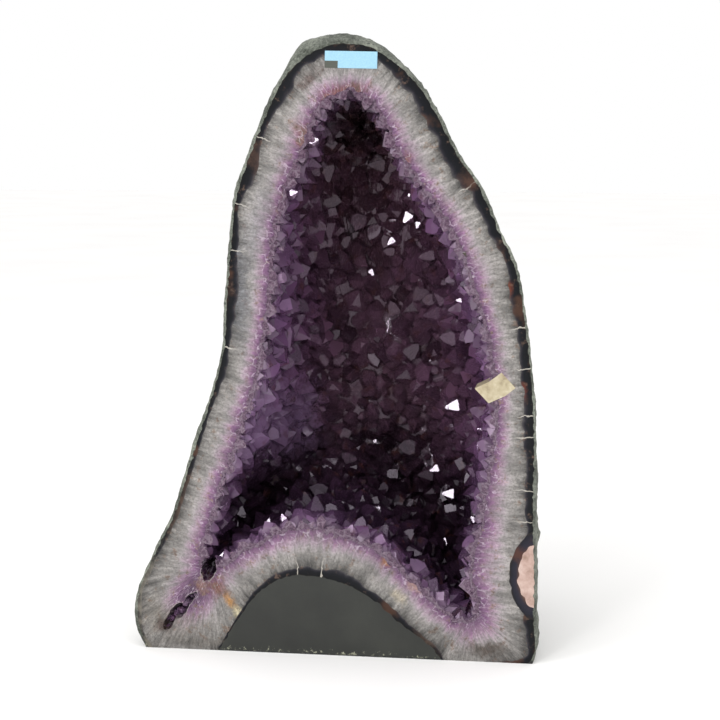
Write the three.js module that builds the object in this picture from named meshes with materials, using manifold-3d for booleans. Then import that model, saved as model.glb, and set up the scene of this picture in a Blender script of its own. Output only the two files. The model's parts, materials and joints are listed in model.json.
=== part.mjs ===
// An amethyst geode, sawn open down the front and sawn flat underneath so that it stands up.
// From the outside in it is a rough basalt rind, a thin dark agate skin, a wall of milky quartz
// columns and a bed of amethyst points that lines the deep hollow. The basalt also rises as a
// mound under the hollow. A calcite crystal sits in the quartz at the right, a pink nodule lies
// in the agate below it, and a blank paper label is stuck near the top of the polished face.
// Millimetres, +Z up, the polished face looks along -Y.
import * as THREE from "three";
import { ConvexHull } from "three/addons/math/ConvexHull.js";
import { mergeVertices } from "three/addons/utils/BufferGeometryUtils.js";
import Module from "manifold-3d";

const wasm = await Module();
wasm.setup();

// Driving dimensions
const geodeDepth = 205; // polished face to the back of the rock
const rindThickness = 2.5; // basalt left outside the agate at the polished face
const backRind = 9; // basalt behind the agate
const backAgate = 6; // agate behind the quartz
const amethystLayer = 12; // amethyst between the quartz and the foot of the points
const leastQuartz = 5; // quartz left everywhere between the amethyst and the agate
const pointFoot = 4; // how far the foot of the points lies outside the rim of the hollow
const hollowDepth = 152; // polished face to the foot of the points at the back
const seam = 0.35; // clearance between neighbouring pieces
const sawLead = 12; // how far each solid runs in front of the face before it is sawn off
const hollowEnd = new THREE.Vector2(-14, 190); // where the hollow and its walls close at the back

// The outside of the agate on the polished face, up the right side, over the top and down the
// left side, as [x, z, agate thickness]. The outline goes on below z = 0, where it is sawn away.
const sides = [
  [138, 4, 6], [139, 40, 6.5], [137.5, 120, 5.5], [136.5, 205, 7], [129.5, 270, 7], [120.5, 318, 6.5],
  [108, 345, 7], [91, 381.5, 8.5], [75, 404, 8.5], [61, 431, 9], [47, 454, 7], [31, 470.5, 7],
  [19.5, 479, 6], [6, 486.5, 8], [-15, 489, 10], [-34, 484, 7], [-46, 476.5, 6], [-60, 461.5, 8],
  [-75, 431, 4.5], [-88, 400, 7], [-98.5, 368, 6], [-102, 338, 4.5], [-106.5, 289, 7], [-109, 251, 4.5],
  [-118, 216, 3.5], [-128, 186, 2.5], [-139, 153, 2.5], [-152, 113, 3], [-171.5, 74, 3], [-184, 40, 2.5],
  [-180, 8, 2.5],
];

// The agate goes on over the basalt mound, from its left foot to its right foot.
const mound = [
  [-150, -22, 2.5], [-120.5, -2, 2.5], [-105, 26, 2.5], [-84, 52, 4], [-62, 64, 6], [-40, 66, 7],
  [-14, 61, 7], [8, 50, 6], [30, 32, 4], [63, 6, 2], [72, -12, 3], [112, -12, 10],
];

// The rock's own outline closes below the sawn base.
const underBase = [[-128, -48], [0, -72], [113, -52]];

// The rim of the hollow on the polished face, as [x, z]
const hollowRim = [
  [-6, 450], [-30, 438], [-40, 412], [-55, 380], [-66, 337], [-70, 290], [-78, 238], [-95, 180],
  [-114, 125], [-127, 70], [-98, 86], [-61, 106], [-41, 109], [-12, 103], [20, 88], [53, 59],
  [84, 35], [92, 42], [87, 66], [86, 84], [94, 112], [97, 140], [102, 170], [105, 217],
  [100, 250], [88, 296], [67, 347], [41, 385], [25, 409], [13, 434],
];

// A narrow side pocket of the hollow in the bottom left corner
const pocket = { x: -144, z: 38, length: 27, width: 6, depth: 34, turn: THREE.MathUtils.degToRad(42) };

const calcite = {
  outline: [[90, 223], [99, 226], [111, 236], [124, 223], [115, 216], [103, 210]],
  depth: 26,
  slant: new THREE.Vector2(-7, 5), // how far the back end leans from the front end
};
const nodule = { x: 139.5, z: 72, wide: 12.5, high: 26, deep: 30, agate: 7 };
const label = { x: -7, z: 477, width: 41, height: 13, thickness: 0.4, turn: THREE.MathUtils.degToRad(-1.4) };

// Facets: enough for a true outline, few enough for a light solid
const facets = { around: 50, depth: 7 };
const bedPoints = { count: 520, shortest: 6, longest: 14, unevenness: 0.05 };

function solidOf(geometry) {
  const bare = geometry.clone();
  bare.deleteAttribute("normal");
  bare.deleteAttribute("uv");
  const merged = mergeVertices(bare, 1e-4);
  return new wasm.Manifold(
    new wasm.Mesh({
      numProp: 3,
      vertProperties: merged.attributes.position.array,
      triVerts: new Uint32Array(merged.index.array),
    }),
  );
}

function meshOf(name, solid, material) {
  const { numProp, vertProperties, triVerts } = solid.getMesh();
  const geometry = new THREE.BufferGeometry();
  const buffer = new THREE.InterleavedBuffer(vertProperties, numProp);
  geometry.setAttribute("position", new THREE.InterleavedBufferAttribute(buffer, 3, 0));
  geometry.setIndex(new THREE.BufferAttribute(triVerts, 1));
  const flat = geometry.toNonIndexed();
  flat.computeVertexNormals();
  const mesh = new THREE.Mesh(flat, material);
  mesh.name = name;
  return mesh;
}

// A smooth closed loop through the points, anticlockwise as seen from the front
function loopThrough(points, count) {
  const corners = points.map(([x, z, agate = 0]) => new THREE.Vector3(x, z, agate));
  const curve = new THREE.CatmullRomCurve3(corners, true, "centripetal");
  const loop = curve.getSpacedPoints(count).slice(0, count);
  return THREE.ShapeUtils.area(loop) < 0 ? loop.reverse() : loop;
}

// The loop's outward direction at each of its points
function outwardOf(loop) {
  return loop.map((point, i) => {
    const next = loop[(i + 1) % loop.length];
    const last = loop.at(i - 1);
    return new THREE.Vector2(next.y - last.y, last.x - next.x).normalize();
  });
}

// The loop moved outwards by a distance, or by a function of each point
function moved(loop, distance) {
  const outward = outwardOf(loop);
  return loop.map((point, i) => {
    const by = typeof distance === "function" ? distance(point) : distance;
    return new THREE.Vector3(point.x + outward[i].x * by, point.y + outward[i].y * by, point.z);
  });
}

// The oval that fits the loop, point for point
function ovalOf(loop) {
  const frame = new THREE.Box2().setFromPoints(loop);
  const middle = frame.getCenter(new THREE.Vector2());
  const half = frame.getSize(new THREE.Vector2()).divideScalar(2);
  const start = Math.atan2((loop[0].y - middle.y) / half.y, (loop[0].x - middle.x) / half.x);
  return loop.map((_, i) => {
    const turn = start + (2 * Math.PI * i) / loop.length;
    return new THREE.Vector3(middle.x + half.x * Math.cos(turn), middle.y + half.y * Math.sin(turn), 0);
  });
}

// A dome that runs back from the polished face. The loop shrinks towards the hollow's end along a
// superellipse, so a high power keeps the walls straight for longer, and it rounds off on the way.
function domePoint(point, oval, share, { depth, power, swell }) {
  const shrink = (1 - share ** power) ** (1 / power);
  const rounded = point.clone().lerp(oval, share ** 4);
  const out = swell ? swell(point, share) : new THREE.Vector2();
  return new THREE.Vector3(
    hollowEnd.x + (rounded.x - hollowEnd.x) * shrink + out.x,
    depth * share,
    hollowEnd.y + (rounded.y - hollowEnd.y) * shrink + out.y,
  );
}

function dome(loop, shape) {
  const count = loop.length;
  const oval = ovalOf(loop);
  const positions = [hollowEnd.x, -sawLead, hollowEnd.y];
  loop.forEach((point) => positions.push(point.x, -sawLead, point.y));
  for (let ring = 0; ring < facets.depth; ring++) {
    const share = Math.sin((ring / facets.depth) * (Math.PI / 2));
    loop.forEach((point, i) => positions.push(...domePoint(point, oval[i], share, shape)));
  }
  positions.push(hollowEnd.x, shape.depth, hollowEnd.y);

  const faces = [];
  const rings = facets.depth + 1;
  const end = 1 + rings * count;
  for (let i = 0; i < count; i++) {
    const j = (i + 1) % count;
    faces.push(0, 1 + i, 1 + j);
    for (let ring = 0; ring < rings - 1; ring++) {
      const near = 1 + ring * count;
      const far = near + count;
      faces.push(near + i, far + i, far + j, near + i, far + j, near + j);
    }
    faces.push(end, end - count + j, end - count + i);
  }
  const geometry = new THREE.BufferGeometry();
  geometry.setAttribute("position", new THREE.Float32BufferAttribute(positions, 3));
  geometry.setIndex(faces);
  return solidOf(geometry);
}

// An ellipsoid centred on the polished face
function lens(x, z, wide, deep, high, turn = 0) {
  const geometry = new THREE.IcosahedronGeometry(1, 3);
  geometry.scale(wide, deep, high);
  geometry.rotateY(turn);
  geometry.translate(x, 0, z);
  return solidOf(geometry);
}

// What the two saw cuts leave: everything behind the face and above the base
function sawn(solid) {
  const reach = 2000;
  const kept = new THREE.BoxGeometry(reach, reach, reach).translate(0, reach / 2, reach / 2);
  return solid.intersect(solidOf(kept));
}

// Repeatable numbers from 0 to 1 for the scatter of the points
function scatter(seed) {
  let state = seed;
  return () => {
    state = (state * 1664525 + 1013904223) % 4294967296;
    return state / 4294967296;
  };
}

const faceLoop = moved(loopThrough([...sides, ...underBase], facets.around), rindThickness);
const agateLoop = loopThrough([...sides, ...mound], facets.around + 16);
const rimLoop = loopThrough(hollowRim, facets.around);
const quartzLoop = moved(agateLoop, (point) => -point.z);

const agateShape = { depth: geodeDepth - backRind, power: 2.3 };
const quartzShape = { depth: agateShape.depth - backAgate, power: 2.3 };
const amethystShape = { depth: hollowDepth + amethystLayer, power: 2.8 };
const hollowShape = { depth: hollowDepth, power: 3 };

// Behind the saw cut the rock swells out, most of all towards the upper left, and is lumpy.
function rockSwell(point, share) {
  const away = new THREE.Vector2(point.x - hollowEnd.x, point.y - hollowEnd.y).normalize();
  const upperLeft = new THREE.Vector2(-0.9, 0.44);
  const side = Math.max(0, away.dot(upperLeft));
  const most = 1 + 8 * side;
  const lumps = 1.5 * Math.sin(point.x / 23 + share * 7) * Math.sin(point.y / 31 + share * 5);
  return away.multiplyScalar(most * Math.sin(Math.PI * share ** 0.6) + lumps * Math.sin(Math.PI * share));
}

function amethystZone(grow) {
  const wide = pointFoot + amethystLayer + grow;
  const main = dome(moved(rimLoop, wide), { ...amethystShape, depth: amethystShape.depth + grow });
  const rim = amethystLayer - 3 + grow;
  const side = lens(pocket.x, pocket.z, pocket.length + rim, pocket.depth + rim, pocket.width + rim, -pocket.turn);
  const margin = grow - leastQuartz;
  const within = dome(moved(quartzLoop, margin), { ...quartzShape, depth: quartzShape.depth + margin });
  return main.add(side).intersect(within);
}

// Directions spread evenly over a ball, each nudged a little so that no two points match
function pointDirections(random) {
  const nudge = () => (random() - 0.5) * bedPoints.unevenness;
  return Array.from({ length: bedPoints.count }, (_, i) => {
    const y = 1 - (2 * i + 1) / bedPoints.count;
    const reach = Math.sqrt(1 - y * y);
    const turn = i * Math.PI * (3 - Math.sqrt(5));
    const direction = new THREE.Vector3(reach * Math.cos(turn), y, reach * Math.sin(turn));
    return direction.add(new THREE.Vector3(nudge(), nudge(), nudge())).normalize();
  });
}

// Where a direction from the middle of the polished face meets the wall of the hollow
function hollowWall(loop, direction) {
  const turn = (Math.atan2(direction.z, direction.x) / (2 * Math.PI) + 1) % 1;
  const first = Math.floor(turn * loop.length);
  const edge = loop[first].clone().lerp(loop[(first + 1) % loop.length], turn * loop.length - first);
  const outward = Math.hypot(direction.x, direction.z);
  const { depth, power } = hollowShape;
  const reach = (Math.abs(direction.y) ** power + outward ** power) ** (-1 / power);
  return new THREE.Vector3(
    hollowEnd.x + (edge.x - hollowEnd.x) * reach * outward,
    depth * reach * direction.y,
    hollowEnd.y + (edge.y - hollowEnd.y) * reach * outward,
  );
}

// The wall is divided into cells, one for each point. The corners of a cell lie in the valleys
// between the points and its middle is raised into the hollow as the tip.
function pointedHollow() {
  const random = scatter(7);
  const loop = moved(rimLoop, pointFoot);
  const tips = pointDirections(random);
  const hull = new ConvexHull().setFromPoints(tips);
  const tipIndex = new Map(tips.map((direction, i) => [direction, i]));
  const valleyIndex = new Map(hull.faces.map((face, i) => [face, tips.length + i]));
  const valleys = hull.faces.map((face) => face.midpoint.clone().normalize());
  const corners = [];
  for (const face of hull.faces)
    for (const edge of [face.getEdge(0), face.getEdge(1), face.getEdge(2)])
      corners.push(tipIndex.get(edge.tail().point), valleyIndex.get(edge.twin.face), valleyIndex.get(face));

  const geometry = new THREE.BufferGeometry();
  geometry.setFromPoints([...tips, ...valleys].map((direction) => hollowWall(loop, direction)));
  geometry.setIndex(corners);
  geometry.computeVertexNormals();
  const { position, normal } = geometry.attributes;
  for (let i = 0; i < tips.length; i++) {
    const length = THREE.MathUtils.lerp(bedPoints.shortest, bedPoints.longest, random());
    position.setXYZ(
      i,
      position.getX(i) - normal.getX(i) * length,
      position.getY(i) - normal.getY(i) * length,
      position.getZ(i) - normal.getZ(i) * length,
    );
  }
  return solidOf(geometry);
}

function hollow() {
  const side = lens(pocket.x, pocket.z, pocket.length, pocket.depth, pocket.width, -pocket.turn);
  return pointedHollow().add(side);
}

// The calcite crystal: a leaning slab whose front end is sawn with the face
function calciteSolid(grow) {
  const middle = new THREE.Vector2();
  calcite.outline.forEach(([x, z]) => middle.add(new THREE.Vector2(x, z).divideScalar(calcite.outline.length)));
  const corners = calcite.outline.map(([x, z]) => {
    const away = new THREE.Vector2(x, z).sub(middle);
    away.setLength(away.length() + grow).add(middle);
    return new THREE.Vector2(away.x, -away.y);
  });
  const geometry = new THREE.ExtrudeGeometry(new THREE.Shape(corners), {
    depth: calcite.depth + sawLead + grow,
    bevelEnabled: false,
    steps: 1,
  });
  geometry.rotateX(-Math.PI / 2);
  geometry.translate(0, -sawLead, 0);
  const place = geometry.attributes.position;
  for (let i = 0; i < place.count; i++) {
    const share = Math.max(0, place.getY(i)) / calcite.depth;
    place.setX(i, place.getX(i) + calcite.slant.x * share);
    place.setZ(i, place.getZ(i) + calcite.slant.y * share);
  }
  return solidOf(geometry);
}

function noduleSolid(grow) {
  return lens(nodule.x, nodule.z, nodule.wide + grow, nodule.deep + grow, nodule.high + grow);
}

function basaltRind() {
  const rock = dome(faceLoop, { depth: geodeDepth, power: 2.2, swell: rockSwell });
  const inside = dome(moved(agateLoop, seam), { ...agateShape, depth: agateShape.depth + seam });
  return sawn(rock.subtract(inside));
}

function agateSkin() {
  const outside = dome(agateLoop, agateShape);
  const inside = dome(moved(quartzLoop, seam), { ...quartzShape, depth: quartzShape.depth + seam });
  const aroundNodule = noduleSolid(nodule.agate).intersect(outside);
  return sawn(outside.subtract(inside).add(aroundNodule).subtract(noduleSolid(seam)));
}

function quartzWall() {
  const wall = dome(quartzLoop, quartzShape);
  const cleared = wall.subtract(amethystZone(seam)).subtract(noduleSolid(nodule.agate + seam));
  return sawn(cleared.subtract(calciteSolid(seam)));
}

function amethystBed() {
  return sawn(amethystZone(0).subtract(hollow()).subtract(calciteSolid(seam)));
}

function pinkNodule() {
  return sawn(noduleSolid(0).intersect(dome(agateLoop, agateShape)));
}

// Paper stuck on the polished face
function paperLabel(material) {
  const mesh = new THREE.Mesh(new THREE.BoxGeometry(label.width, label.thickness, label.height), material);
  mesh.name = "paper_label";
  mesh.position.set(label.x, -seam - label.thickness / 2, label.z);
  mesh.rotation.y = -label.turn;
  return mesh;
}

const finish = (color, roughness) => new THREE.MeshStandardMaterial({ color, roughness, metalness: 0 });

const geode = new THREE.Group();
geode.add(
  meshOf("basalt_rind", basaltRind(), finish("#55584f", 0.85)),
  meshOf("agate_skin", agateSkin(), finish("#23242a", 0.3)),
  meshOf("quartz_wall", quartzWall(), finish("#a7a2a0", 0.25)),
  meshOf("amethyst_bed", amethystBed(), finish("#5a3a74", 0.1)),
  meshOf("calcite_crystal", sawn(calciteSolid(0)), finish("#d9d0a4", 0.5)),
  meshOf("pink_nodule", pinkNodule(), finish("#d2ab9c", 0.6)),
  paperLabel(finish("#bfe3f2", 0.7)),
);

// The origin is the middle of the base
const box = new THREE.Box3().setFromObject(geode, true);
const middle = box.getCenter(new THREE.Vector3());
geode.position.set(-middle.x, -middle.y, 0);

export default geode;
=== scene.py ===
import json
import math
import bmesh
import bpy
import numpy as np
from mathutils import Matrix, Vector

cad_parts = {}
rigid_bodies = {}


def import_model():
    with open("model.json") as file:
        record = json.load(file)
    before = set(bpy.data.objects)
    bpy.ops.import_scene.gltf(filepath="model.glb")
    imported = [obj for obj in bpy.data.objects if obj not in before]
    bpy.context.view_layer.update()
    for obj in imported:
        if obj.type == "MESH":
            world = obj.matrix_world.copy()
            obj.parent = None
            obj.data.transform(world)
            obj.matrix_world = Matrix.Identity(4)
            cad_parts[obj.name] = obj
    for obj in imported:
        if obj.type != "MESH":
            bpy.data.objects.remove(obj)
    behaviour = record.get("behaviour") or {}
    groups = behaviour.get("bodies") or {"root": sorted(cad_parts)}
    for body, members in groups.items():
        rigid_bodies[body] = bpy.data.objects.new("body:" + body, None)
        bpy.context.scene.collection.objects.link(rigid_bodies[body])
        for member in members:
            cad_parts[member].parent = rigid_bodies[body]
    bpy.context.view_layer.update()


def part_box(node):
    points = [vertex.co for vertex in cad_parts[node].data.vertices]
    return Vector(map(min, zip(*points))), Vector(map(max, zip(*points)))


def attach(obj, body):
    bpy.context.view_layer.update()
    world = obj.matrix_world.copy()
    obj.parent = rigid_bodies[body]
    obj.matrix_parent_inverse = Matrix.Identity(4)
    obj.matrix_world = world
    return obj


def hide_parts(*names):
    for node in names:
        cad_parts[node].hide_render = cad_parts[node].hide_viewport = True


# An amethyst geode, sawn open at the front and flat underneath. Lengths in the dictionaries are
# millimetres, everything else is metres in the frame's own axes: +Z up, the sawn face towards -Y.
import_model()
mm = 0.001


# x and z of the agate's outer edge, its thickness, and how far the rock behind it bulges past the
# sawn edge, up the right side, over the top, down the left
outline = {
    "sides": [
        (138, 4, 6, 2), (139, 40, 6.5, 2.5), (137.5, 120, 5.5, 2), (136.5, 205, 7, -2), (129.5, 270, 7, -4),
        (120.5, 318, 6.5, -5), (108, 345, 7, -5), (91, 381.5, 8.5, -5), (75, 404, 8.5, -4), (61, 431, 9, -3),
        (47, 454, 7, -4), (31, 470.5, 7, 1), (19.5, 479, 6, 5), (6, 486.5, 8, 6), (-15, 489, 10, 9),
        (-34, 484, 7, 13), (-46, 476.5, 6, 16), (-60, 461.5, 8, 8), (-75, 431, 4.5, 5), (-88, 400, 7, 1),
        (-98.5, 368, 6, 7), (-102, 338, 4.5, 5), (-106.5, 289, 7, -3), (-109, 251, 4.5, -3),
        (-118, 216, 3.5, -1), (-128, 186, 2.5, 3), (-139, 153, 2.5, 3), (-152, 113, 3, 4),
        (-171.5, 74, 3, 3), (-184, 40, 2.5, 0), (-180, 8, 2.5, -2),
    ],
    # over the basalt mound, from the left foot to the right foot
    "mound": [
        (-150, -22, 1, 0), (-120, -2, 1, 0), (-102, 26, 1, 0), (-82, 52, 3, 0), (-62, 64, 6, 0),
        (-40, 66, 7, 0), (-14, 61, 7, 0), (8, 50, 6, 0), (30, 32, 4, 0), (63, 6, 2, 0), (72, -12, 3, 0),
        (112, -12, 10, 0),
    ],
    # the rock's own outline below the sawn base
    "underBase": [(-128, -48, 0, 0), (0, -72, 0, 0), (113, -52, 0, 0)],
    # the rim of the hollow
    "rim": [
        (-6, 450), (-30, 438), (-40, 412), (-55, 380), (-66, 337), (-70, 290), (-78, 238), (-95, 180),
        (-114, 125), (-127, 70), (-98, 86), (-61, 106), (-41, 109), (-12, 103), (20, 88), (53, 59),
        (84, 35), (92, 42), (87, 66), (86, 84), (94, 112), (97, 140), (102, 170), (105, 217), (100, 250),
        (88, 296), (67, 347), (41, 385), (25, 409), (13, 434),
    ],
    "rindThickness": 2.5,
    "hollowEnd": (-14, 190),  # where the hollow closes at the back
    "sideColumns": 430,
    "bottomColumns": 170,
}


def smoothLoop(points, params):
    # Closed curve through the points: each stretch is the centripetal Catmull-Rom blend of its
    # four nearest points, read at params, where 2.5 is halfway between the third and the fourth.
    points = np.asarray(points, float)
    count = len(points)
    first = np.floor(params).astype(int)
    p = [points[(first + shift) % count] for shift in (-1, 0, 1, 2)]
    knots = [np.zeros(len(params))]
    for a, b in zip(p, p[1:]):
        knots.append(knots[-1] + np.linalg.norm((b - a)[:, :2], axis=1) ** 0.5)
    t = knots[1] + (knots[2] - knots[1]) * (params - first)

    def blend(a, b, start, end):
        share = ((t - start) / (end - start))[:, None]
        return a * (1 - share) + b * share

    a1, a2, a3 = (blend(p[i], p[i + 1], knots[i], knots[i + 1]) for i in range(3))
    b1 = blend(a1, a2, knots[0], knots[2])
    b2 = blend(a2, a3, knots[1], knots[3])
    return blend(b1, b2, knots[1], knots[2])


def evenParams(points, start, end, count):
    # params from start to end that are evenly spaced along the curve
    fine = np.linspace(start, end, 4000)
    place = smoothLoop(points, fine)[:, :2]
    length = np.concatenate([[0], np.cumsum(np.linalg.norm(np.diff(place, axis=0), axis=1))])
    return np.interp(np.linspace(0, length[-1], count, endpoint=False), length, fine)


def outward(loop):
    along = np.roll(loop, -1, axis=0)[:, :2] - np.roll(loop, 1, axis=0)[:, :2]
    side = np.stack([along[:, 1], -along[:, 0]], axis=1)
    return side / np.linalg.norm(side, axis=1)[:, None]


def ripples(points, wavelength, seed, count=14):
    # lumpy field between about -1 and 1: a sum of sine waves that run in random directions
    random = np.random.default_rng(seed)
    direction = random.normal(size=(count, points.shape[-1]))
    direction /= np.linalg.norm(direction, axis=1)[:, None]
    stretch = random.uniform(0.7, 1.4, count)
    phase = random.uniform(0, 2 * math.pi, count)
    waves = np.sin(points @ direction.T * (2 * math.pi / wavelength * stretch) + phase)
    return waves.sum(axis=-1) / math.sqrt(count) * 0.9


def wholeLoop(points, sideCount):
    sides = evenParams(points, 0, sideCount - 1, outline["sideColumns"])
    bottom = evenParams(points, sideCount - 1, len(points), outline["bottomColumns"])
    return smoothLoop(points, np.concatenate([sides, bottom]))


def makeLoops():
    sideCount = len(outline["sides"])
    agate = wholeLoop(outline["sides"] + outline["mound"], sideCount)
    wholeRock = wholeLoop(outline["sides"] + outline["underBase"], sideCount)
    rock, bulge = wholeRock[:, :2], wholeRock[:, 3]
    face = rock + outward(rock) * outline["rindThickness"]
    face += outward(face) * (ripples(face, 60, 3) * 0.5 + ripples(face, 9, 4) * 0.35)[:, None]
    # the agate's two edges are ragged, most of all the outer one
    ragged = ripples(agate[:, :2], 9, 5) * 0.45 + ripples(agate[:, :2], 4, 6) * 0.3
    agateEdge = agate[:, :2] + outward(agate) * (ragged + 0.5)[:, None]
    lobes = 0.22 * ripples(agate[:, :2], 45, 7) + 0.16 * ripples(agate[:, :2], 15, 9)
    thickness = agate[:, 2] * (1 + lobes) + ripples(agate[:, :2], 6, 8) * 0.35
    quartzEdge = agate[:, :2] - outward(agate) * np.maximum(0.8, thickness)[:, None]
    return face, agateEdge, quartzEdge, bulge


def matchRim(quartzEdge, rimLoop):
    # for each column of the quartz edge the rim point that its columns of quartz grow towards
    gap = np.linalg.norm(quartzEdge[None] - rimLoop[:, None], axis=2)
    nearest = gap.argmin(axis=1).astype(float)
    count = len(quartzEdge)
    nearest = np.unwrap(nearest, period=count)
    nearest = np.maximum.accumulate(nearest)
    rimPlace = np.arange(len(rimLoop), dtype=float)
    both = np.concatenate([nearest - count, nearest, nearest + count])
    rimBoth = np.concatenate([rimPlace - len(rimLoop), rimPlace, rimPlace + len(rimLoop)])
    wanted = np.arange(count, dtype=float)
    wanted += count * math.floor(nearest[0] / count)
    place = np.interp(wanted, both, rimBoth)
    # smoothed over a few columns each way so that neighbouring ones spread evenly
    drift = place - np.arange(count) * len(rimLoop) / count
    width = 9
    padded = np.concatenate([drift[-width:], drift, drift[:width]])
    drift = np.convolve(padded, np.ones(2 * width + 1) / (2 * width + 1), "valid")
    place = drift + np.arange(count) * len(rimLoop) / count
    low = np.floor(place).astype(int)
    share = (place - low)[:, None]
    return rimLoop[low % len(rimLoop)] * (1 - share) + rimLoop[(low + 1) % len(rimLoop)] * share


faceLoop, agateLoop, quartzLoop, bulge = makeLoops()
rimCount = 420
rimLoop = smoothLoop(outline["rim"], evenParams(outline["rim"], 0, len(outline["rim"]), rimCount))

# where the loops lie in the frame: the quartz's right-hand edge and the plane of the sawn face
quartzLow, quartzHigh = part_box("quartz_wall")
rockLow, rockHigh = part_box("basalt_rind")
bedLow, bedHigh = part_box("amethyst_bed")
plainEdge = wholeLoop(outline["sides"] + outline["mound"], len(outline["sides"]))
plainEdge = plainEdge[:, :2] - outward(plainEdge) * plainEdge[:, 2:3]
shiftX = quartzHigh.x / mm - plainEdge[:, 0].max()
faceY = quartzLow.y / mm
print("outlines made, shifted by", round(shiftX, 2), "mm, face at", round(faceY, 2), "mm")


studio = {
    # the camera: degrees round and above the middle of the face, metres from it, lens in mm
    "azimuth": 8, "elevation": 8, "distance": 1.3452, "height": 0.2428, "lens": 85,
    # soft boxes: place, size and radiance. Their mirror images make the grey facets.
    "panels": [
        ((-0.55, -1.30, 1.60), (1.3, 0.8), 1.7),
        ((-0.95, -1.05, 0.85), (0.5, 0.7), 3.0),
        ((0.95, -1.25, 1.10), (0.6, 0.6), 2.2),
    ],
    # a small bright one beside the camera: its mirror image makes the white glints
    "hotPlace": (-0.48, -1.55, 0.92), "hotSize": (0.24, 0.2), "hotRadiance": 34,
}
azimuth, elevation = math.radians(studio["azimuth"]), math.radians(studio["elevation"])
backward = Vector((math.sin(azimuth) * math.cos(elevation), -math.cos(azimuth) * math.cos(elevation),
                   math.sin(elevation)))
viewTarget = Vector((shiftX * mm, faceY * mm, studio["height"]))
cameraPlace = viewTarget + backward * studio["distance"]


def toFrame(points):
    # x, depth behind the face and z in millimetres to metres in the frame
    points = np.asarray(points, float)
    return np.stack([points[..., 0] + shiftX, points[..., 1] + faceY, points[..., 2]], axis=-1) * mm


def meshFrom(name, vertices, faces, cornerUv=None, values=None):
    mesh = bpy.data.meshes.new(name)
    mesh.from_pydata(vertices.tolist(), [], faces)
    if cornerUv is not None:
        layer = mesh.uv_layers.new(name="band")
        layer.data.foreach_set("uv", cornerUv.ravel())
    for key, numbers in (values or {}).items():
        layer = mesh.attributes.new(key, "FLOAT", "POINT")
        layer.data.foreach_set("value", np.asarray(numbers, np.float32))
    mesh.update()
    piece = bpy.data.objects.new(name, mesh)
    bpy.context.scene.collection.objects.link(piece)
    return piece


def ringPiece(name, rings, ends, around, across, values):
    # A closed skin: rings of points joined by quads, with an end point before and after them.
    # around is the length along the rings at each column, across the length from ring to ring.
    rows, columns, _ = rings.shape
    vertices = np.concatenate([rings.reshape(-1, 3), np.asarray(ends, float)])
    row, column = np.meshgrid(np.arange(rows - 1), np.arange(columns), indexing="ij")
    after = (column + 1) % columns
    quads = np.stack([row * columns + column, (row + 1) * columns + column,
                      (row + 1) * columns + after, row * columns + after], axis=-1).reshape(-1, 4)
    wrapped = np.concatenate([around, [around[-1] + around[1]]])
    uvU = np.stack([wrapped[column], wrapped[column], wrapped[column + 1], wrapped[column + 1]], axis=-1)
    uvV = np.stack([across[row, column], across[row + 1, column], across[row + 1, after],
                    across[row, after]], axis=-1)
    i = np.arange(columns)
    j = (i + 1) % columns
    last = (rows - 1) * columns
    startFan = np.stack([np.full(columns, rows * columns), i, j], axis=-1)
    endFan = np.stack([np.full(columns, rows * columns + 1), last + j, last + i], axis=-1)
    fanU = np.stack([wrapped[i], wrapped[i], wrapped[i + 1]], axis=-1)
    fanV = np.zeros((columns, 3))
    uv = np.concatenate([
        np.stack([uvU, uvV], axis=-1).reshape(-1, 2),
        np.stack([fanU, fanV + across[0].mean()], axis=-1).reshape(-1, 2),
        np.stack([fanU, fanV + across[-1].mean()], axis=-1).reshape(-1, 2),
    ])
    faces = quads.tolist() + startFan.tolist() + endFan.tolist()
    filled = {key: np.concatenate([grid.ravel(), [grid[0, 0], grid[-1, 0]]]) for key, grid in values.items()}
    return meshFrom(name, toFrame(vertices), faces, uv * mm, filled)


def faceOutwards(piece):
    mesh = bmesh.new()
    mesh.from_mesh(piece.data)
    if mesh.calc_volume(signed=True) < 0:
        bmesh.ops.reverse_faces(mesh, faces=mesh.faces)
    mesh.to_mesh(piece.data)
    mesh.free()


def sawBase(piece):
    # cut off what lies below the base and close the cut
    mesh = bmesh.new()
    mesh.from_mesh(piece.data)
    everything = mesh.verts[:] + mesh.edges[:] + mesh.faces[:]
    bmesh.ops.bisect_plane(mesh, geom=everything, plane_co=(0, 0, 0), plane_no=(0, 0, -1), clear_outer=True)
    rim = [edge for edge in mesh.edges if edge.is_boundary]
    bmesh.ops.triangle_fill(mesh, use_beauty=True, use_dissolve=False, edges=rim, normal=(0, 0, -1))
    bmesh.ops.recalc_face_normals(mesh, faces=mesh.faces)
    if mesh.calc_volume(signed=True) < 0:
        bmesh.ops.reverse_faces(mesh, faces=mesh.faces)
    mesh.to_mesh(piece.data)
    mesh.free()


def combine(piece, other, operation):
    # exact joining or cutting of two closed skins
    change = piece.modifiers.new("combine", "BOOLEAN")
    change.operation = operation
    change.solver = "MANIFOLD"
    change.object = other
    made = bpy.data.meshes.new_from_object(piece.evaluated_get(bpy.context.evaluated_depsgraph_get()))
    piece.modifiers.clear()
    piece.data = made
    bpy.data.objects.remove(other)
    return piece


def shadeSmooth(piece, angle):
    # smooth shading, broken at edges sharper than the angle in degrees
    mesh = bmesh.new()
    mesh.from_mesh(piece.data)
    limit = math.radians(angle)
    for face in mesh.faces:
        face.smooth = True
    for edge in mesh.edges:
        edge.smooth = len(edge.link_faces) == 2 and edge.calc_face_angle(0) < limit
    mesh.to_mesh(piece.data)
    mesh.free()


def box(name, low, high):
    corners = [(x, y, z) for x in (low[0], high[0]) for y in (low[1], high[1]) for z in (low[2], high[2])]
    faces = [(0, 1, 3, 2), (4, 6, 7, 5), (0, 4, 5, 1), (2, 3, 7, 6), (0, 2, 6, 4), (1, 5, 7, 3)]
    return meshFrom(name, np.array(corners, float), faces)


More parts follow.
